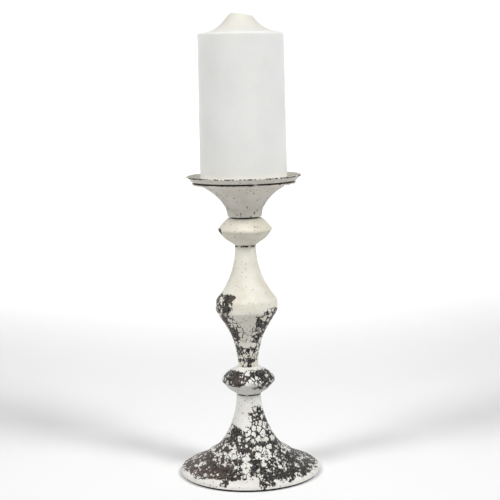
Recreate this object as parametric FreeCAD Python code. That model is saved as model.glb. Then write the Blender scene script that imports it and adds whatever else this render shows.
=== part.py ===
import FreeCAD, Part
import math
import os

# Pillar candlestick: a stack of hollow pressed-steel shells drawn together by a tie rod, with a
# drip pan tacked to the top of its cup and a pillar candle standing on a nail-like pricket.
#
# Origin: on the stick's axis, on the surface that it stands on. +Z is up. Millimetres.
# An outline is a list of (radius, height, bend): the runs between its points are straight, and
# bend is the radius of the arc that rounds a point. A section's outline starts at its own foot.

WALL = 1.0                # sheet thickness of every pressed shell
FELT_RADIUS = 59.8
FELT_THICKNESS = 2.0
BASE_PLATE_RADIUS = 60.85
BASE_PLATE_THICKNESS = 1.0

BASE = [(62.0, 0), (62.0, 3.5, 2.4), (42.9, 11.7, 46), (36.5, 17.3, 2.5),
        (27.3, 22.3, 24.4), (11.5, 49.4, 77), (10.8, 69.3)]
LOWER_KNOP_LOWER = [(11.6, 0), (17.6, 3.9, 11.8), (23.7, 11.0, 1.5), (23.7, 11.7)]
LOWER_KNOP_UPPER = [(23.7, 0), (23.7, 1.1, 1.5), (20.2, 6.2, 23), (9.0, 12.5)]
STEM_LOWER = [(8.8, 0), (9.1, 11.2, 84), (14.4, 29.3, 41), (27.4, 50.8, 3), (27.5, 54.9)]
STEM_UPPER = [(27.5, 0), (27.1, 5.3, 4), (12.0, 24.6, 73), (9.2, 50.0, 17), (9.2, 53.5)]
UPPER_KNOP_LOWER = [(8.6, 0), (19.1, 7.1, 18.5), (23.7, 13.6, 1.2), (23.7, 14.1)]
UPPER_KNOP_UPPER = [(23.7, 0), (23.7, 1.2, 1.5), (18.0, 8.1, 22), (14.6, 10.2)]
CUP = [(14.9, 0), (16.3, 6.9, 2.4), (22.9, 17.6, 40), (36.4, 26.7, 9.8),
       (45.4, 28.5, 0.5), (45.4, 29.7)]
CUP_LIP_WIDTH = 1.4       # the flange's edge is rolled over to this width

BASE_COLLAR_RADIUS = 9.6  # narrow dark rings between the base and knop, and the knop and cup
CUP_COLLAR_RADIUS = 11.5
COLLAR_HEIGHT = 1.6

PAN_GAP = 1.4             # daylight between the cup's lip and the pan
PAN = [(38.0, 0), (45.8, 0, 2.0), (49.4, 4.1)]
PAN_BEAD = (49.6, 4.2, 0.7)          # radius, height and thickness radius of the rolled rim
TACK = [(1.2, 0), (2.2, PAN_GAP / 2, 0.8), (1.2, PAN_GAP)]
TACK_CIRCLE = 43.9
TACK_ANGLES = (-77, 43, 163)         # degrees about +Z from +X

ROD_RADIUS = 3.0
ROD_HOLE_RADIUS = 3.2
ROD_END = 2.0             # rod standing past each nut
NUT_BORE_RADIUS = 3.02
NUT_ACROSS_FLATS = 10.0
NUT_HEIGHT = 5.0
WASHER_RADIUS = 7.5
WASHER_THICKNESS = 1.5

PRICKET_RADIUS = 2.0
PRICKET_TIP_RADIUS = 0.3
PRICKET_HEIGHT = 24.0     # above the pan's floor
PRICKET_HEAD_RADIUS = 5.0
PRICKET_HEAD_THICKNESS = 1.2
PRICKET_FIT = 0.05        # gap to the pan's hole
CANDLE_FIT = 0.4          # gap to the candle's hole

CANDLE = [(37.6, 0), (38.3, 0.8, 0.4), (37.3, 126.2, 1.2), (26.4, 128.4, 25),
          (15.0, 136.2, 20), (9.4, 142.2, 3), (4.0, 144.5, 0.8), (1.8, 143.2)]
WICK_RADIUS = 1.2
WICK_BORE_RADIUS = 1.25
WICK_START = 28.0         # above the candle's foot, over the pricket's hole

UP = FreeCAD.Vector(0, 0, 1)


def place(point):
    """An outline's point as a vector in the XZ plane."""
    return FreeCAD.Vector(point[0], 0, point[1])


def bend_of(point):
    return point[2] if len(point) > 2 else 0


def edges_along(points):
    """Straight edges along an outline, with a tangent arc at each point that has a bend."""
    edges = []
    start = place(points[0])
    for before, at, after in zip(points, points[1:], points[2:]):
        back = (place(before) - place(at)).normalize()
        ahead = (place(after) - place(at)).normalize()
        half_angle = back.getAngle(ahead) / 2
        reach = bend_of(at) / math.tan(half_angle)
        entry = place(at) + back * reach
        edges.append(Part.LineSegment(start, entry).toShape())
        start = place(at) + ahead * reach
        if reach > 0:
            depth = bend_of(at) / math.sin(half_angle) - bend_of(at)
            middle = place(at) + (back + ahead).normalize() * depth
            edges.append(Part.Arc(entry, middle, start).toShape())
    edges.append(Part.LineSegment(start, place(points[-1])).toShape())
    return edges


def turned(points):
    """Solid of revolution of an outline, closed straight to the axis at both its ends."""
    top = FreeCAD.Vector(0, 0, points[-1][1])
    foot = FreeCAD.Vector(0, 0, points[0][1])
    closing = [(place(points[-1]), top), (top, foot), (foot, place(points[0]))]
    edges = edges_along(points) + [Part.LineSegment(a, b).toShape() for a, b in closing]
    return Part.Face(Part.Wire(edges)).revolve(FreeCAD.Vector(), UP, 360)


def offset(points, distance):
    """The outline moved to its left, towards the axis on a rising wall, by distance."""
    runs = [(place(b) - place(a)).normalize() for a, b in zip(points, points[1:])]
    moved = []
    for i, point in enumerate(points):
        before = runs[max(i - 1, 0)]
        after = runs[min(i, len(runs) - 1)]
        lefts = [FreeCAD.Vector(-run.z, 0, run.x) for run in (before, after)]
        shift = (lefts[0] + lefts[1]) * (distance / (1 + lefts[0].dot(lefts[1])))
        turns_left = before.x * after.z - before.z * after.x > 0
        bend = bend_of(point)
        if bend > 0:
            bend = bend - distance if turns_left else bend + distance
        moved.append((point[0] + shift.x, point[1] + shift.z, bend))
    return moved


def cut_at(end, inward, height):
    """The end point of an outline, slid along its last run to a height."""
    share = (height - end[1]) / (inward[1] - end[1])
    return (end[0] + share * (inward[0] - end[0]), height)


def shell(points, closed_foot, closed_top):
    """Turned shell of the outline, with a flat web one wall thick at each closed end."""
    foot = points[0][1] + (WALL if closed_foot else -WALL)
    top = points[-1][1] + (-WALL if closed_top else WALL)
    inside = offset(points, WALL)
    inside[0] = cut_at(inside[0], inside[1], foot)
    inside[-1] = cut_at(inside[-1], inside[-2], top)
    return turned(points).cut(turned(inside))


def cylinder(radius, height, foot=0.0):
    return Part.makeCylinder(radius, height, FreeCAD.Vector(0, 0, foot), UP)


def bored(solid, radius):
    """The solid with a hole through it along the axis."""
    box = solid.BoundBox
    return solid.cut(cylinder(radius, box.ZLength + 2, box.ZMin - 1))


def raised(solid, height):
    moved = solid.copy()
    moved.translate(UP * height)
    return moved


def cup_shell():
    """Trumpet cup with a rod hole in its foot and a rolled edge to its flange."""
    inside = offset(CUP[:-1], WALL)
    inside[0] = cut_at(inside[0], inside[1], WALL)
    lip_radius = CUP[-1][0] - CUP_LIP_WIDTH
    share = (inside[-1][0] - lip_radius) / (inside[-1][0] - inside[-2][0])
    lip_height = inside[-1][1] + share * (inside[-2][1] - inside[-1][1])
    inside[-1] = (lip_radius, lip_height)
    inside.append((lip_radius, CUP[-1][1] + WALL))
    return bored(turned(CUP).cut(turned(inside)), ROD_HOLE_RADIUS)


def drip_pan():
    """Shallow pan with a flat floor, a flared wall and a rolled rim."""
    dish = turned(PAN).cut(turned(offset(PAN, WALL)))
    bead_radius, bead_height, bead_thickness = PAN_BEAD
    bead = Part.makeTorus(bead_radius, bead_thickness, FreeCAD.Vector(0, 0, bead_height), UP)
    return bored(dish.fuse(bead).removeSplitter(), PRICKET_RADIUS + PRICKET_FIT)


def tack_welds():
    """Blobs of weld that bridge the gap between the cup's lip and the pan."""
    blobs = []
    for angle in TACK_ANGLES:
        blob = turned(TACK)
        blob.translate(FreeCAD.Vector(TACK_CIRCLE, 0, 0))
        blob.rotate(FreeCAD.Vector(), UP, angle)
        blobs.append(blob)
    return Part.makeCompound(blobs)


def nut():
    corner = NUT_ACROSS_FLATS / math.sqrt(3)
    turns = [math.radians(60 * i) for i in range(7)]
    corners = [FreeCAD.Vector(corner * math.cos(a), corner * math.sin(a), 0) for a in turns]
    block = Part.Face(Part.makePolygon(corners)).extrude(UP * NUT_HEIGHT)
    return bored(block, NUT_BORE_RADIUS)


def pricket():
    """Nail pushed up through the pan: a flat head below it and a long tapered point above."""
    head = cylinder(PRICKET_HEAD_RADIUS, PRICKET_HEAD_THICKNESS, -PRICKET_HEAD_THICKNESS)
    shank = cylinder(PRICKET_RADIUS, WALL)
    taper = Part.makeCone(PRICKET_RADIUS, PRICKET_TIP_RADIUS, PRICKET_HEIGHT,
                          FreeCAD.Vector(0, 0, WALL), UP)
    return head.fuse(shank).fuse(taper).removeSplitter()


def candle_wax():
    """Pillar candle with a drawn-up tip, a bore for its wick and a hole for the pricket."""
    hole = Part.makeCone(PRICKET_RADIUS + CANDLE_FIT, PRICKET_TIP_RADIUS + CANDLE_FIT,
                         PRICKET_HEIGHT + CANDLE_FIT)
    wick_length = CANDLE[-1][1] - WICK_START
    bore = cylinder(WICK_BORE_RADIUS, wick_length + 1, WICK_START)
    return turned(CANDLE).cut(hole).cut(bore)


def candle_wick():
    return cylinder(WICK_RADIUS, CANDLE[-1][1] - WICK_START, WICK_START)


# Heights of the stack, from the surface up.
base_foot = FELT_THICKNESS
base_top = base_foot + BASE[-1][1]
lower_knop_foot = base_top + COLLAR_HEIGHT
lower_knop_seam = lower_knop_foot + LOWER_KNOP_LOWER[-1][1]
stem_foot = lower_knop_seam + LOWER_KNOP_UPPER[-1][1]
stem_seam = stem_foot + STEM_LOWER[-1][1]
upper_knop_foot = stem_seam + STEM_UPPER[-1][1]
upper_knop_seam = upper_knop_foot + UPPER_KNOP_LOWER[-1][1]
upper_knop_top = upper_knop_seam + UPPER_KNOP_UPPER[-1][1]
cup_foot = upper_knop_top + COLLAR_HEIGHT
cup_top = cup_foot + CUP[-1][1]
pan_foot = cup_top + PAN_GAP
pan_floor = pan_foot + WALL

# The tie rod runs from under the base's top web to above the cup's foot web.
lower_washer = base_top - WALL - WASHER_THICKNESS
lower_nut = lower_washer - NUT_HEIGHT
upper_washer = cup_foot + WALL
upper_nut = upper_washer + WASHER_THICKNESS
rod_foot = lower_nut - ROD_END
rod_top = upper_nut + NUT_HEIGHT + ROD_END

washer = bored(cylinder(WASHER_RADIUS, WASHER_THICKNESS), ROD_HOLE_RADIUS)

nodes = {
    "felt_pad": cylinder(FELT_RADIUS, FELT_THICKNESS),
    "base_plate": cylinder(BASE_PLATE_RADIUS, BASE_PLATE_THICKNESS, base_foot),
    "base_collar": raised(bored(cylinder(BASE_COLLAR_RADIUS, COLLAR_HEIGHT), ROD_HOLE_RADIUS),
                          base_top),
    "cup_collar": raised(bored(cylinder(CUP_COLLAR_RADIUS, COLLAR_HEIGHT), ROD_HOLE_RADIUS),
                         upper_knop_top),
    "cup_shell": raised(cup_shell(), cup_foot),
    "drip_pan": raised(drip_pan(), pan_foot),
    "pan_tack_welds": raised(tack_welds(), cup_top),
    "pricket": raised(pricket(), pan_foot),
    "tie_rod": cylinder(ROD_RADIUS, rod_top - rod_foot, rod_foot),
    "rod_washers": Part.makeCompound([raised(washer, z) for z in (lower_washer, upper_washer)]),
    "rod_nuts": Part.makeCompound([raised(nut(), z) for z in (lower_nut, upper_nut)]),
    "candle_wax": raised(candle_wax(), pan_floor),
    "candle_wick": raised(candle_wick(), pan_floor),
}

# Name, outline, height of its foot, and which of its ends a web closes.
pressings = [
    ("base_shell", BASE, base_foot, False, True),
    ("lower_knop_lower_shell", LOWER_KNOP_LOWER, lower_knop_foot, True, False),
    ("lower_knop_upper_shell", LOWER_KNOP_UPPER, lower_knop_seam, False, True),
    ("stem_lower_shell", STEM_LOWER, stem_foot, True, False),
    ("stem_upper_shell", STEM_UPPER, stem_seam, False, True),
    ("upper_knop_lower_shell", UPPER_KNOP_LOWER, upper_knop_foot, True, False),
    ("upper_knop_upper_shell", UPPER_KNOP_UPPER, upper_knop_seam, False, True),
]
for name, points, foot_height, closed_foot, closed_top in pressings:
    pressing = bored(shell(points, closed_foot, closed_top), ROD_HOLE_RADIUS)
    nodes[name] = raised(pressing, foot_height)

os.makedirs("parts", exist_ok=True)
for name, shape in nodes.items():
    shape.exportStep(f"parts/{name}.step")
    box = shape.BoundBox
    print(f"{name:24s} solids {len(shape.Solids)}  valid {shape.isValid()}  "
          f"volume {shape.Volume:10.1f}  z {box.ZMin:7.2f} to {box.ZMax:7.2f}  "
          f"radius {box.XMax:6.2f}")
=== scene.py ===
import math

import bpy
import numpy as np
from mathutils import Matrix, Vector


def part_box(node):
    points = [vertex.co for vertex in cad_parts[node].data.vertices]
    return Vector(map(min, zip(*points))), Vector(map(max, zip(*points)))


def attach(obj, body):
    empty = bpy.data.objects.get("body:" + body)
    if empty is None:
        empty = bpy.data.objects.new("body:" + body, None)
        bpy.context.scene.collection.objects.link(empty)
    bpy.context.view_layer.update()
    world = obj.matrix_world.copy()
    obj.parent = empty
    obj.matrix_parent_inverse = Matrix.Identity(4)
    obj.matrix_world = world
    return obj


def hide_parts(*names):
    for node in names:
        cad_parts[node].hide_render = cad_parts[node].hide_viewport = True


# Distressed pillar candlestick, in metres, in the CAD frame: +Z up, the front faces -Y.
# An angle on the object is in degrees about +Z from the front, positive towards +X.

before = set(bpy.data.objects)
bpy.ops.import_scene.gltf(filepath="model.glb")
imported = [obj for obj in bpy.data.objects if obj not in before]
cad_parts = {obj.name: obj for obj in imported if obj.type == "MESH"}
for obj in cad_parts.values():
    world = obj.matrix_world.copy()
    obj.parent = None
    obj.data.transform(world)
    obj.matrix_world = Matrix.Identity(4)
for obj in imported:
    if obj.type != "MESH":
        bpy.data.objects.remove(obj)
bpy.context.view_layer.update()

MM = 0.001


# ---------------------------------------------------------------- node helpers

class Shade:
    """Short calls that build one material's node tree."""

    def __init__(self, name):
        self.material = bpy.data.materials.new(name)
        self.material.use_nodes = True
        self.tree = self.material.node_tree
        self.tree.nodes.clear()
        self.place = self.add("ShaderNodeTexCoord").outputs["Object"]

    def add(self, kind, inputs=None, **settings):
        node = self.tree.nodes.new(kind)
        for key, value in settings.items():
            setattr(node, key, value)
        for socket, value in (inputs or {}).items():
            if isinstance(value, bpy.types.NodeSocket):
                self.tree.links.new(value, node.inputs[socket])
            else:
                node.inputs[socket].default_value = value
        return node

    def math(self, operation, a, b=0.0, c=0.0):
        return self.add("ShaderNodeMath", {0: a, 1: b, 2: c}, operation=operation).outputs[0]

    def vector(self, operation, a, b=(0.0, 0.0, 0.0)):
        return self.add("ShaderNodeVectorMath", {0: a, 1: b}, operation=operation)

    def ramp(self, value, low, high, to_low=0.0, to_high=1.0):
        """Smooth change from to_low at value low to to_high at value high."""
        node = self.add("ShaderNodeMapRange", {0: value, 1: low, 2: high, 3: to_low, 4: to_high},
                        interpolation_type="SMOOTHSTEP")
        return node.outputs[0]

    def mix(self, share, a, b):
        node = self.add("ShaderNodeMix", {0: share, 6: a, 7: b}, data_type="RGBA")
        return node.outputs[2]

    def noise(self, size, detail=2.0, roughness=0.5, distortion=0.0, at=None, shift=0.0):
        """Fractal noise with features of about size metres, from 0 to 1 and 0.5 on average."""
        place = at or self.place
        if shift:
            place = self.vector("ADD", place, (shift, shift * 0.7, shift * 1.3)).outputs[0]
        node = self.add("ShaderNodeTexNoise",
                        {"Vector": place, "Scale": 1.0 / size, "Detail": detail,
                         "Roughness": roughness, "Distortion": distortion})
        return node.outputs["Fac"]

    def cells(self, size, at=None, feature="F1"):
        return self.add("ShaderNodeTexVoronoi",
                        {"Vector": at or self.place, "Scale": 1.0 / size}, feature=feature)

    def random_per_cell(self, cells):
        """One random value from 0 to 1 for each of the cells."""
        return self.add("ShaderNodeSeparateColor", {0: cells.outputs["Color"]}).outputs[0]

    def around(self):
        """(distance from the axis, height) of a point of the surface."""
        parts = self.add("ShaderNodeSeparateXYZ", {0: self.place})
        flat = self.vector("MULTIPLY", self.place, (1.0, 1.0, 0.0)).outputs[0]
        return self.vector("LENGTH", flat).outputs["Value"], parts.outputs["Z"]

    def mirrored_front(self):
        """The place on the front half, with points of the back half mirrored onto it."""
        parts = self.add("ShaderNodeSeparateXYZ", {0: self.place}).outputs
        forward = self.math("MULTIPLY", self.math("ABSOLUTE", parts["Y"]), -1.0)
        return self.add("ShaderNodeCombineXYZ", {0: parts["X"], 1: forward, 2: parts["Z"]}).outputs[0]

    def bump(self, height, distance, strength=1.0):
        node = self.add("ShaderNodeBump",
                        {"Height": height, "Distance": distance, "Strength": strength})
        return node.outputs["Normal"]

    def surface(self, **inputs):
        """Ends the tree in a Principled shader with these inputs, named with _ for a space."""
        named = {key.replace("_", " "): value for key, value in inputs.items()}
        shader = self.add("ShaderNodeBsdfPrincipled", named)
        self.add("ShaderNodeOutputMaterial", {"Surface": shader.outputs[0]})
        return self.material


# ---------------------------------------------------------------- distressed paint

PAINT_WHITE = ((0.77, 0.76, 0.72, 1.0), (0.70, 0.685, 0.635, 1.0))
PAINT_IVORY = ((0.765, 0.745, 0.665, 1.0), (0.69, 0.665, 0.585, 1.0))
PAINT_CREAM = ((0.76, 0.735, 0.64, 1.0), (0.68, 0.645, 0.53, 1.0))
PAINT_BELLY = ((0.755, 0.735, 0.655, 1.0), (0.69, 0.655, 0.555, 1.0))
# The cup's paint is darker: painted shade for the shadow the pan casts on the cup.
PAINT_CUP_SHADED = ((0.71, 0.68, 0.615, 1.0), (0.63, 0.60, 0.54, 1.0))
METAL_DARK = (0.009, 0.008, 0.0075, 1.0)
METAL_WORN = (0.135, 0.125, 0.116, 1.0)
METAL_BROWN = (0.092, 0.060, 0.046, 1.0)
# Grey of thin paint near the wear, also used as the painted shade on faces that look down.
THIN_PAINT_AND_SHADE_GREY = (0.36, 0.345, 0.32, 1.0)
WORN_MOST = 0.45          # so that some islands of paint stay everywhere


def read_outline():
    """Radius of the metal's outer face against height, from the CAD shells."""
    points = []
    for name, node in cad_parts.items():
        if name.endswith("_shell"):
            co = np.empty(3 * len(node.data.vertices))
            node.data.vertices.foreach_get("co", co)
            co = co.reshape(-1, 3)
            points.append(np.stack([np.hypot(co[:, 0], co[:, 1]), co[:, 2]], 1))
    points = np.concatenate(points)
    heights = np.arange(points[:, 1].min(), points[:, 1].max(), 0.5 * MM)
    rows = [(points[abs(points[:, 1] - z) < 1.5 * MM, 0], z) for z in heights]
    return np.array([(r.max(), z) for r, z in rows if len(r)])


OUTLINE = read_outline()


def patch_wear(shade, wear, place, angle, height, across, tall, amount):
    """Adds a patch of wear with half-width across and half-height tall, fading at its edge."""
    turn = math.radians(angle)
    radius = float(np.interp(height * MM, OUTLINE[:, 1], OUTLINE[:, 0]))
    middle = (radius * math.sin(turn), -radius * math.cos(turn), height * MM)
    local = shade.add("ShaderNodeMapping",
                      {"Vector": place, "Location": middle, "Rotation": (0, 0, turn),
                       "Scale": (across * MM, (across + tall) * MM, tall * MM)},
                      vector_type="TEXTURE")
    away = shade.vector("LENGTH", local.outputs[0]).outputs["Value"]
    return shade.math("ADD", wear, shade.ramp(away, 0.5, 1.35, amount, 0.0))


def ring_wear(shade, wear, around, radius, height, reach, amount):
    """Adds wear along a ring, such as an edge, that fades over reach."""
    here = shade.add("ShaderNodeCombineXYZ", {0: around[0], 1: around[1]}).outputs[0]
    away = shade.vector("DISTANCE", here, (radius * MM, height * MM, 0.0)).outputs["Value"]
    return shade.math("ADD", wear, shade.ramp(away, 0.0, reach * MM, amount, 0.0))


FLAKES = ((4.4, 0.9), (2.4, 0.9))    # mm across, how much a flake's hold on the metal varies


def flakes(shade):
    """Two uneven fields: one tears wear into clumps, islands and crumbs, the other keeps it to
    the seams between large flakes."""
    drawn_out = shade.vector("MULTIPLY", shade.place, (1.0, 0.65, 0.85)).outputs[0]
    stir = shade.add("ShaderNodeTexNoise", {"Vector": drawn_out, "Scale": 1 / (2.6 * MM),
                                            "Detail": 3.0, "Roughness": 0.6})
    stir = shade.vector("SUBTRACT", stir.outputs["Color"], (0.5, 0.5, 0.5)).outputs[0]
    stir = shade.vector("MULTIPLY", stir, (3.4 * MM, 3.4 * MM, 3.4 * MM)).outputs[0]
    torn = shade.vector("ADD", drawn_out, stir).outputs[0]
    clumps = shade.math("MULTIPLY_ADD", shade.noise(8 * MM, 2.0, 0.5, at=torn), 2.6, c=-1.3)
    crumbs = shade.noise(1.3 * MM, 3.0, 0.65, at=torn)
    clumps = shade.math("ADD", clumps, shade.math("MULTIPLY_ADD", crumbs, 2.0, c=-1.0))
    # Each flake keeps its own share of paint; the seams between flakes wear first.
    seams = []
    for size, amount in FLAKES:
        held = shade.random_per_cell(shade.cells(size * MM, at=torn))
        held = shade.math("MULTIPLY_ADD", held, 2.4 * amount, c=-0.5 * amount)
        seam = shade.cells(size * MM, at=torn, feature="DISTANCE_TO_EDGE").outputs["Distance"]
        held = shade.math("MULTIPLY", held, shade.ramp(seam, 0.04, 0.16))
        clumps = shade.math("SUBTRACT", clumps, held)
        clumps = shade.math("ADD", clumps, 0.5 * amount)
        seams.append(seam)
    network = shade.math("MULTIPLY_ADD", clumps, 0.55, c=0.15)
    network = shade.math("ADD", shade.ramp(seams[0], 0.02, 0.17, 0.55, -0.95), network)
    return clumps, network


def worn_level(shade, wear, patches, veins, rings, bands):
    """Wear over the surface, torn up by the flakes: above 0 the paint is gone."""
    around = shade.around()
    front = shade.mirrored_front()
    level = shade.math("ADD", wear, 0.0)
    for patch in patches:
        level = patch_wear(shade, level, front, *patch)
    for ring in rings:
        level = ring_wear(shade, level, around, *ring)
    for low, high, fade, amount in bands:
        rise = shade.ramp(around[1], (low - fade) * MM, low * MM)
        fall = shade.ramp(around[1], high * MM, (high + fade) * MM, amount, 0.0)
        level = shade.math("ADD", level, shade.math("MULTIPLY", rise, fall))
    clumps, network = flakes(shade)
    level = shade.math("ADD", shade.math("MINIMUM", level, WORN_MOST), clumps)
    if veins:
        veined = shade.math("ADD", wear, 0.0)
        for patch in veins:
            veined = patch_wear(shade, veined, front, *patch)
        veined = shade.math("ADD", shade.math("MINIMUM", veined, 0.0), network)
        level = shade.math("MAXIMUM", level, veined)
    return level


def paint_colour(shade, tints, thin, grain, speck):
    """Mottled paint, greyer where it is thin, with painted shade on faces that look down and dark
    specks.
    """
    # Painted shade: faces that look down are mixed towards grey, standing in for the shade under
    # overhangs.
    facing = shade.add("ShaderNodeNewGeometry").outputs["Normal"]
    facing = shade.add("ShaderNodeSeparateXYZ", {0: facing}).outputs["Z"]
    painted_underside_shade = shade.ramp(facing, 0.0, -0.6, 0.0, 0.22)
    mottle = shade.noise(14 * MM, 4.0, 0.6, shift=0.1)
    paint = shade.mix(shade.ramp(mottle, 0.38, 0.66), *tints)
    paint = shade.mix(painted_underside_shade, paint, THIN_PAINT_AND_SHADE_GREY)
    grime = shade.math("MULTIPLY", thin, shade.ramp(grain, 0.3, 0.7, 0.2, 1.0))
    paint = shade.mix(shade.math("MULTIPLY", grime, 0.45), paint, THIN_PAINT_AND_SHADE_GREY)
    return shade.mix(shade.math("MULTIPLY", speck, 0.75), paint, METAL_DARK)


def metal_colour(shade):
    """Scuffed dark primer, browner on the side towards -X."""
    scuff = shade.noise(2.2 * MM, 5.0, 0.7, shift=0.7)
    metal = shade.mix(shade.ramp(scuff, 0.44, 0.68), METAL_DARK, METAL_WORN)
    across = shade.add("ShaderNodeSeparateXYZ", {0: shade.place}).outputs["X"]
    patchy = shade.noise(12 * MM, 3.0, 0.5, shift=0.9)
    tarnish = shade.math("MULTIPLY_ADD", across, -5.0, c=patchy)
    return shade.mix(shade.ramp(tarnish, 0.45, 0.75, 0.0, 0.6), metal, METAL_BROWN)


def distressed(name, wear, tints, patches=(), veins=(), rings=(), bands=(), specks=1.0):
    """Chalky paint worn through to dark primer. Sizes in the arguments are in mm.

    wear is the general wear: -2 is sound paint, at 0 half of it is gone. Each patch (angle,
    height, across, tall, amount), ring (radius, height, reach, amount) and band of height
    (from, to, fade, amount) adds to it, up to WORN_MOST. veins are patches in which only the
    seams between flakes are worn. specks is the strength of the dark specks.
    """
    shade = Shade(name)
    level = worn_level(shade, wear, patches, veins, rings, bands)
    chip = shade.ramp(level, -0.06, 0.06)
    thin = shade.ramp(level, -0.5, 0.0)
    grain = shade.noise(1.1 * MM, 2.0, 0.6, shift=0.5)

    spots = shade.cells(2.9 * MM)
    size = shade.ramp(shade.random_per_cell(spots), 0.15, 1.0, 0.0, 0.29)
    speck = shade.math("LESS_THAN", spots.outputs["Distance"], size)
    speck = shade.math("MULTIPLY", speck, specks)

    relief = shade.math("MULTIPLY", chip, -1.0)
    relief = shade.math("ADD", relief, shade.math("MULTIPLY", speck, -0.6))
    relief = shade.math("ADD", relief, shade.math("MULTIPLY", grain, 0.22))
    paint = paint_colour(shade, tints, thin, grain, speck)
    return shade.surface(
        Base_Color=shade.mix(chip, paint, metal_colour(shade)),
        Roughness=shade.ramp(chip, 0.0, 1.0, 0.62, 0.5),
        Specular_IOR_Level=0.28,
        Normal=shade.bump(relief, 0.22 * MM, 0.7),
    )


# ---------------------------------------------------------------- plain finishes

def dark_primer():
    """Bare primed steel in the gaps, with smears of paint."""
    shade = Shade("dark_primer")
    smear = shade.noise(2.2 * MM, 4.0, 0.6)
    scuff = shade.noise(0.9 * MM, 2.0, 0.6, shift=0.2)
    dark = shade.mix(scuff, (0.016, 0.015, 0.014, 1), (0.05, 0.046, 0.042, 1))
    smear = shade.ramp(smear, 0.60, 0.68)
    bridge = shade.vector("DISTANCE", shade.place, (-2.0 * MM, -9.4 * MM, 72.1 * MM)).outputs["Value"]
    smear = shade.math("MAXIMUM", smear, shade.ramp(bridge, 1.4 * MM, 2.2 * MM, 1.0, 0.0))
    colour = shade.mix(smear, dark, (0.55, 0.54, 0.50, 1))
    return shade.surface(Base_Color=colour, Roughness=0.55, Specular_IOR_Level=0.4,
                         Normal=shade.bump(scuff, 0.1 * MM, 0.6))


def bare_steel():
    """Bright drawn steel with fine scratches round the axis."""
    shade = Shade("bare_steel")
    squeezed = shade.vector("MULTIPLY", shade.place, (1.0, 1.0, 9.0)).outputs[0]
    scratch = shade.noise(1.5 * MM, 3.0, 0.6, at=squeezed)
    colour = shade.mix(scratch, (0.33, 0.33, 0.34, 1), (0.52, 0.52, 0.53, 1))
    return shade.surface(Base_Color=colour, Metallic=1.0,
                         Roughness=shade.ramp(scratch, 0.3, 0.7, 0.28, 0.45),
                         Normal=shade.bump(scratch, 0.04 * MM, 0.5))


def felt():
    """Dense black felt."""
    shade = Shade("felt")
    fuzz = shade.noise(0.5 * MM, 4.0, 0.8, 1.0)
    wool = shade.noise(4.0 * MM, 3.0, 0.6, shift=0.4)
    base = shade.mix(fuzz, (0.006, 0.006, 0.007, 1), (0.022, 0.021, 0.021, 1))
    colour = shade.mix(shade.ramp(wool, 0.4, 0.75, 0.0, 0.5), base, (0.03, 0.029, 0.028, 1))
    return shade.surface(Base_Color=colour, Roughness=0.95, Specular_IOR_Level=0.15,
                         Sheen_Weight=0.04, Sheen_Roughness=0.6,
                         Normal=shade.bump(fuzz, 0.3 * MM, 0.8))


def wax():
    """Slightly translucent white paraffin, warmer and clearer at its drawn-up tip, with a painted
    pale band of bounced light at its foot.
    """
    shade = Shade("wax")
    around = shade.around()
    cloud = shade.noise(38 * MM, 3.0, 0.5)
    frost = shade.noise(2.2 * MM, 3.0, 0.6, shift=0.3)
    body = shade.mix(shade.ramp(cloud, 0.35, 0.68), (0.81, 0.815, 0.80, 1), (0.77, 0.775, 0.755, 1))
    body = shade.mix(shade.ramp(frost, 0.4, 0.75, 0.0, 0.25), body, (0.84, 0.84, 0.83, 1))
    tip = shade.ramp(around[1], 388 * MM, 394 * MM)
    body = shade.mix(tip, body, (0.72, 0.705, 0.645, 1))
    # Painted light: the lowest few mm of wax are paler, standing in for light bounced up from the
    # pan.
    foot = shade.ramp(around[1], 266.5 * MM, 271 * MM, 1.0, 0.0)
    body = shade.mix(shade.math("MULTIPLY", foot, 0.7), body, (0.87, 0.855, 0.815, 1))
    relief = shade.math("ADD", shade.math("MULTIPLY", cloud, 2.0), frost)
    return shade.surface(Base_Color=body, Roughness=0.42, Specular_IOR_Level=0.45,
                         Subsurface_Weight=0.55, Subsurface_Radius=(1.0, 0.85, 0.65),
                         Subsurface_Scale=5 * MM, Normal=shade.bump(relief, 0.25 * MM, 0.5))


def cotton():
    """Braided cotton, waxed."""
    shade = Shade("cotton")
    thread = shade.noise(0.35 * MM, 3.0, 0.6)
    colour = shade.mix(thread, (0.62, 0.58, 0.48, 1), (0.86, 0.83, 0.75, 1))
    return shade.surface(Base_Color=colour, Roughness=0.8, Specular_IOR_Level=0.2,
                         Sheen_Weight=0.2, Normal=shade.bump(thread, 0.1 * MM, 0.7))


# ---------------------------------------------------------------- meshes

def mesh_piece(name, points, faces, material, smooth=True):
    mesh = bpy.data.meshes.new(name)
    mesh.from_pydata([tuple(p) for p in points], [], faces)
    mesh.polygons.foreach_set("use_smooth", [smooth] * len(mesh.polygons))
    mesh.materials.append(material)
    mesh.update()
    piece = bpy.data.objects.new(name, mesh)
    bpy.context.scene.collection.objects.link(piece)
    return piece


def grid_faces(rings, turns, closed_ends=True):
    """Quads between rings of points, with the first and last ring closed by one face each."""
    faces = []
    for i in range(rings - 1):
        for j in range(turns):
            k = (j + 1) % turns
            faces.append((i * turns + j, i * turns + k, (i + 1) * turns + k, (i + 1) * turns + j))
    if closed_ends:
        faces.append(tuple(reversed(range(turns))))
        faces.append(tuple((rings - 1) * turns + j for j in range(turns)))
    return faces


def catmull(points, steps):
    """Points along a smooth curve through the given ones."""
    p = np.array([points[0], *points, points[-1]], float)
    out = []
    for a, b, c, d in zip(p, p[1:], p[2:], p[3:]):
        for t in np.arange(steps) / steps:
            out.append(0.5 * (2 * b + (c - a) * t + (2 * a - 5 * b + 4 * c - d) * t ** 2
                              + (3 * b - a - 3 * c + d) * t ** 3))
    out.append(p[-1])
    return np.array(out)


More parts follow.
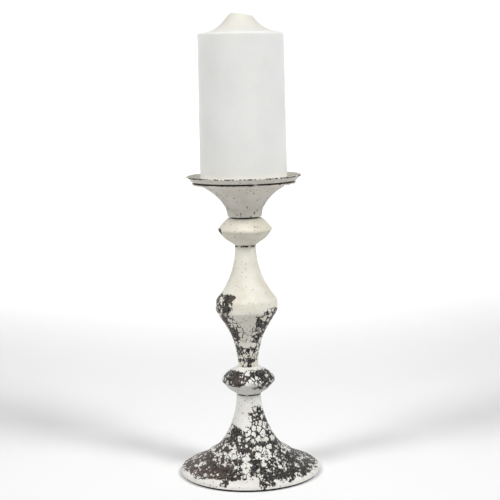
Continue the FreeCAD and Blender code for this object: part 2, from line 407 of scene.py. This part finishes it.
def ripple(turn, seed, waves, strength):
    """Smooth closed variation round the axis, from a seeded draw of waves."""
    draw = np.random.default_rng(seed)
    total = np.zeros_like(turn)
    for wave in range(1, waves + 1):
        total += draw.normal() / wave * np.cos(wave * turn + draw.uniform(0, 2 * math.pi))
    return strength * total


WAX_TURNS = 160
SHOULDER = 126.0          # mm above the candle's foot
# Up the pricket's hole and out across the foot, as (radius, height) above the foot in mm.
WAX_FOOT = [(0.7, 24.4), (1.55, 12.2), (2.4, 0.1), (12.0, 0.1), (25.0, 0.1)]
# Over the shoulder, up the flare to the tip and down into its dimple.
WAX_TOP = [(37.3, 125.2), (36.9, 126.1), (35.6, 126.6), (29.6, 127.8), (23.9, 129.8),
           (18.8, 132.8), (15.1, 136.3), (12.4, 139.4), (10.4, 141.6), (8.9, 142.6),
           (6.5, 142.9), (3.6, 142.6), (2.2, 141.9), (1.35, 141.2)]


def wax_outline(foot, side):
    """(radius, height) of the whole candle, from the top of the pricket's hole to the dimple."""
    shape = [(r * MM, foot + z * MM) for r, z in WAX_FOOT]
    straight = [(0.985, 0.1 * MM), (1.0, 1.2 * MM)]
    straight += [(1.0, share * SHOULDER * MM) for share in np.linspace(0.05, 0.985, 24)]
    for share, height in straight:
        taper = 0.9 * MM * (1 - height / (SHOULDER * MM))
        shape.append((share * (side + taper), foot + height))
    return shape + [(r * MM, foot + z * MM) for r, z in catmull(WAX_TOP, 5)]


def candle_wax():
    """Pillar with a hole for the pricket, a slightly uneven side and a drawn-up, slanted tip."""
    low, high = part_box("candle_wax")
    foot, top, radius = low.z, high.z, high.x
    shoulder = foot + SHOULDER * MM
    turn = np.arange(WAX_TURNS) / WAX_TURNS * 2 * math.pi
    wobble = ripple(turn, 3, 5, 0.22 * MM)
    drips = ripple(turn, 8, 9, 0.5 * MM)
    shape = wax_outline(foot, radius - 1.0 * MM)
    points = []
    for r, z in shape:
        lift = min(1.0, max(0.0, (z - shoulder) / (top - shoulder)))
        ring = r + wobble * (1 - lift) * (r / radius) + drips * 4 * lift * (1 - lift)
        ring = np.minimum(ring, radius)
        slant = -1.7 * MM * lift * min(1.0, r / (9 * MM)) * np.cos(turn)
        heights = np.minimum(z + slant * lift, top)
        shift = 1.3 * MM * lift
        points += list(zip(ring * np.cos(turn) + shift, ring * np.sin(turn), heights))
    piece = mesh_piece("candle_wax_body", points, grid_faces(len(shape), WAX_TURNS), wax())
    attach(piece, "candle")
    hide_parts("candle_wax")
    return piece


def candle_wick():
    """Three strands twisted together, showing in the tip's dimple."""
    low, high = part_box("candle_wick")
    radius = high.x
    strand = 0.46 * radius
    lead = 3.2 * MM
    around = 8
    points, faces = [], []
    heights = np.arange(high.z - 20 * MM, high.z - 0.1 * MM, 0.2 * MM)
    for start in range(3):
        base = len(points)
        for z in heights:
            turn = 2 * math.pi * (start / 3 + z / lead)
            middle = Vector((0.5 * radius * math.cos(turn), 0.5 * radius * math.sin(turn), z))
            out = Vector((math.cos(turn), math.sin(turn), 0))
            side = Vector((-math.sin(turn), math.cos(turn), 0))
            for j in range(around):
                a = 2 * math.pi * j / around
                points.append(middle + strand * (math.cos(a) * out + math.sin(a) * side))
        faces += [tuple(base + i for i in face) for face in grid_faces(len(heights), around)]
    piece = mesh_piece("candle_wick_braid", points, faces, cotton())
    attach(piece, "candle")
    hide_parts("candle_wick")
    return piece


FELT_SPREAD = 1.015       # width of the disc, as a share of the CAD disc's


def felt_disc():
    """Felt disc with a soft, slightly ragged edge, a little wider than the CAD disc."""
    low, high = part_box("felt_pad")
    radius, thick = FELT_SPREAD * high.x, high.z
    turns = 360
    turn = np.arange(turns) / turns * 2 * math.pi
    draw = np.random.default_rng(5)
    ragged = 0.25 * MM * draw.random(turns)
    profile = [(0.35, 0.0), (0.70, 0.0), (0.985, 0.0), (0.998, 0.18), (1.0, 0.5), (0.998, 0.82),
               (0.985, 1.0), (0.70, 1.0), (0.35, 1.0)]
    points = []
    for share, level in profile:
        ring = share * radius - (ragged if share > 0.9 else 0.0)
        points += list(zip(ring * np.cos(turn), ring * np.sin(turn), np.full(turns, level * thick)))
    piece = mesh_piece("felt_disc", points, grid_faces(len(profile), turns), felt())
    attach(piece, "holder")
    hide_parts("felt_pad")
    return piece


# ---------------------------------------------------------------- finishes of the CAD nodes

# Patches: angle, height, half-width, half-height, amount. The back repeats them, mirrored.
BASE_PATCHES = [
    (-50, 42, 9, 5, 1.7), (-42, 36, 11, 6, 1.6), (-62, 29, 14, 6, 1.5), (-24, 37, 6, 3, 1.8),
    (-10, 30, 7, 5, 2.2), (34, 55, 4, 3, 1.5), (20, 46, 3, 4, 1.5), (64, 45, 5, 4, 1.5),
    (30, 33, 12, 4, 1.2), (80, 40, 10, 16, 1.4),
    (10, 6, 3.5, 5, 3.2), (17, 6.5, 5, 3, 2.4), (32, 7, 10, 2.5, 1.6), (-22, 6, 5, 2.5, 3.4),
    (-50, 8, 14, 2.5, 1.8), (52, 8, 14, 2.5, 1.8), (-82, 8, 20, 3, 1.9), (82, 8, 20, 3, 1.8),
    (-5, 17, 4.5, 8, -1.5), (2, 9, 9, 2, -1.4),
]
BASE_VEINS = [
    (34, 55, 8, 8, 2.6), (42, 44, 13, 9, 2.4), (64, 42, 10, 14, 2.3), (12, 37, 6, 6, 2.1),
    (-42, 36, 14, 8, 2.3),
]
LOWER_KNOP_VEINS = [(-45, 89, 16, 7, 2.2), (40, 89, 18, 8, 2.2)]
LOWER_KNOP_PATCHES = [
    (-60, 90, 13, 6, 1.7), (-28, 91, 5, 6, 1.7), (-40, 84.5, 14, 3, 1.9), (-8, 88, 4, 3, 1.5),
    (4, 92, 3, 3, 1.8), (17, 93.5, 4, 2, 2.0), (40, 87, 10, 5, 2.0), (56, 92, 8, 4, 2.0),
    (38, 82, 11, 4, 2.4), (78, 88, 9, 6, 1.8), (28, 91.5, 4, 2, -0.7), (0, 90, 12, 6, 0.2),
]
STEM_LOWER_PATCHES = [
    (-66, 155, 14, 7, 2.6), (-38, 153, 6, 4, 1.7), (-60, 146, 13, 8, 1.8), (-42, 145, 4, 4, 2.2),
    (-46, 137, 8, 7, 1.9), (-48, 127, 8, 7, 2.0), (-62, 120, 6, 6, 1.5), (-45, 114, 4, 4, 2.9),
    (20, 144, 3, 3, 2.2), (26, 139, 3, 6, 2.2), (42, 148, 4, 2.5, 2.1), (38, 139, 6, 5, 1.9),
    (55, 131, 7, 9, 2.1), (66, 145, 8, 7, 1.7), (42, 123, 7, 5, 1.7), (24, 127, 3, 5, 1.7),
    (13, 113, 4, 3, 1.1), (-10, 112, 4, 4, 1.0), (-4, 102, 4, 3, 1.1), (24, 103, 4, 4, 1.1),
    (44, 107, 5, 4, 1.5), (-32, 104, 4, 4, 1.4), (10, 98, 2.2, 1.3, 1.7), (50, 115, 5, 4, 1.6),
    (-58, 109, 5, 4, 1.6), (-22, 98, 3, 2, 1.4),
]
STEM_LOWER_VEINS = [(-52, 136, 14, 20, 2.1), (50, 136, 12, 20, 2.1), (0, 105, 12, 8, 1.6)]
STEM_UPPER_PATCHES = [
    (-66, 158, 14, 7, 2.7), (-40, 161, 7, 4, 1.8), (-28, 160, 2.6, 4, 2.4), (-38, 153, 6, 4, 1.7),
]
UPPER_KNOP_PATCHES = [(-74, 219, 6, 3, 3.2)]


def paint_materials():
    """Painted material for each shell, with its own wear."""
    base = distressed("paint_base", -2.0, PAINT_WHITE, BASE_PATCHES, BASE_VEINS,
                      bands=[(9.0, 19, 2.0, 2.35), (22, 30, 4, 1.6)], specks=0.6)
    knop = distressed("paint_lower_knop", -2.0, PAINT_WHITE, LOWER_KNOP_PATCHES, LOWER_KNOP_VEINS,
                      bands=[(86, 94, 2, 0.4)], specks=0.4)
    stem = distressed("paint_stem", -2.1, PAINT_IVORY, STEM_LOWER_PATCHES, STEM_LOWER_VEINS,
                      bands=[(98, 118, 4, 0.3)], specks=0.5)
    neck = distressed("paint_neck", -2.1, PAINT_BELLY, STEM_UPPER_PATCHES,
                      rings=[(8.8, 204.9, 1.2, 2.8)], specks=0.35)
    top = distressed("paint_top", -2.2, PAINT_CREAM, UPPER_KNOP_PATCHES,
                     rings=[(23.7, 219.6, 1.0, 0.5), (8.9, 206.2, 1.8, 3.6)], specks=0.6)
    # Painted shade: the cup's darker paint stands in for the pan's shadow on it.
    cup = distressed("paint_cup", -2.2, PAINT_CUP_SHADED, rings=[(45.4, 261.0, 1.2, 1.4)])
    pan = distressed("paint_pan", -2.2, PAINT_IVORY, rings=[(50.3, 267.0, 1.4, 2.9)], specks=0.7)
    return {
        "base_shell": base,
        "lower_knop_lower_shell": knop, "lower_knop_upper_shell": knop,
        "stem_lower_shell": stem, "stem_upper_shell": neck,
        "upper_knop_lower_shell": top, "upper_knop_upper_shell": top,
        "cup_shell": cup,
        "drip_pan": pan, "pan_tack_welds": pan,
    }


def finish_cad_nodes():
    finish = paint_materials()
    finish.update(dict.fromkeys(("base_collar", "cup_collar"), dark_primer()))
    steel_nodes = ("base_plate", "pricket", "tie_rod", "rod_washers", "rod_nuts")
    finish.update(dict.fromkeys(steel_nodes, bare_steel()))
    for name, material in finish.items():
        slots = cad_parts[name].data.materials
        slots.clear()
        slots.append(material)


# ---------------------------------------------------------------- studio

CAMERA_DISTANCE = 1.092
CAMERA_HEIGHT = 0.3465
CAMERA_SIDE = 0.004
CAMERA_DOWN = 7.587       # degrees
CAMERA_ROLL = 1.3
CAMERA_LENS = 89.83       # on a 36 mm sensor


def add_camera():
    down, roll = math.radians(CAMERA_DOWN), math.radians(CAMERA_ROLL)
    ahead = Vector((0, math.cos(down), -math.sin(down)))
    level_up = Vector((0, math.sin(down), math.cos(down)))
    right = Vector((math.cos(roll), 0, 0)) - level_up * math.sin(roll)
    up = level_up * math.cos(roll) + Vector((math.sin(roll), 0, 0))
    data = bpy.data.cameras.new("camera")
    data.lens = CAMERA_LENS
    data.sensor_width = 36.0
    camera = bpy.data.objects.new("camera", data)
    turn = Matrix((right, up, -ahead)).transposed().to_4x4()
    camera.matrix_world = Matrix.Translation((CAMERA_SIDE, -CAMERA_DISTANCE, CAMERA_HEIGHT)) @ turn
    bpy.context.scene.collection.objects.link(camera)
    bpy.context.scene.camera = camera


def add_sweep():
    """Pale round studio floor that curves up into a low wall."""
    shade = Shade("studio_white")
    tone = shade.noise(0.9, 2.0, 0.5)
    material = shade.surface(Base_Color=shade.mix(tone, (0.91, 0.91, 0.91, 1), (0.94, 0.94, 0.94, 1)),
                             Roughness=0.9, Specular_IOR_Level=0.1)
    turns = 96
    turn = np.arange(turns) / turns * 2 * math.pi
    profile = [(1.8, 0.9)]
    for step in range(12, -1, -1):
        bend = math.radians(90 * step / 12)
        profile.append((1.3 + 0.5 * math.sin(bend), 0.5 - 0.5 * math.cos(bend)))
    profile += [(0.8, 0.0), (0.4, 0.0)]
    points = []
    for r, z in profile:
        points += list(zip(r * np.cos(turn), r * np.sin(turn), np.full(turns, z)))
    faces = grid_faces(len(profile), turns, closed_ends=False)
    faces.append(tuple((len(profile) - 1) * turns + j for j in range(turns)))
    sweep = mesh_piece("studio_sweep", points, faces, material)


def add_light(name, side, up, distance, aim, size, power, spread=180):
    """Round soft light, side degrees round from the front and up degrees above its aim."""
    side, up = math.radians(side), math.radians(up)
    towards = Vector((math.sin(side) * math.cos(up), -math.cos(side) * math.cos(up), math.sin(up)))
    data = bpy.data.lights.new(name, "AREA")
    data.shape = "DISK"
    data.size = size
    data.energy = power
    data.spread = math.radians(spread)
    light = bpy.data.objects.new(name, data)
    light.location = Vector(aim) + distance * towards
    light.rotation_euler = towards.to_track_quat("Z", "Y").to_euler()
    bpy.context.scene.collection.objects.link(light)


def add_lights():
    world = bpy.data.worlds.new("studio_air")
    world.use_nodes = True
    world.node_tree.nodes["Background"].inputs["Color"].default_value = (1.0, 1.0, 1.0, 1)
    world.node_tree.nodes["Background"].inputs["Strength"].default_value = 0.36
    bpy.context.scene.world = world
    add_light("right_key", 50, 45, 2.0, (0, 0, 0.2), 0.6, 2.6, 60)
    add_light("left_key", -55, 45, 2.0, (0, 0, 0.2), 0.6, 2.1, 60)
    add_light("backdrop_right", 10, 50, 1.3, (0.5, 1.6, 0.3), 0.8, 4.0, 100)
    add_light("floor_behind", 0, 90, 1.2, (0, 0.72, 0), 0.6, 0.25, 50)
    add_light("backdrop_left", -10, 50, 1.3, (-0.5, 1.6, 0.3), 0.8, 4.0, 100)


add_camera()
add_sweep()
add_lights()
finish_cad_nodes()
candle_wax()
candle_wick()
felt_disc()
bpy.context.scene.view_settings.view_transform = "Standard"
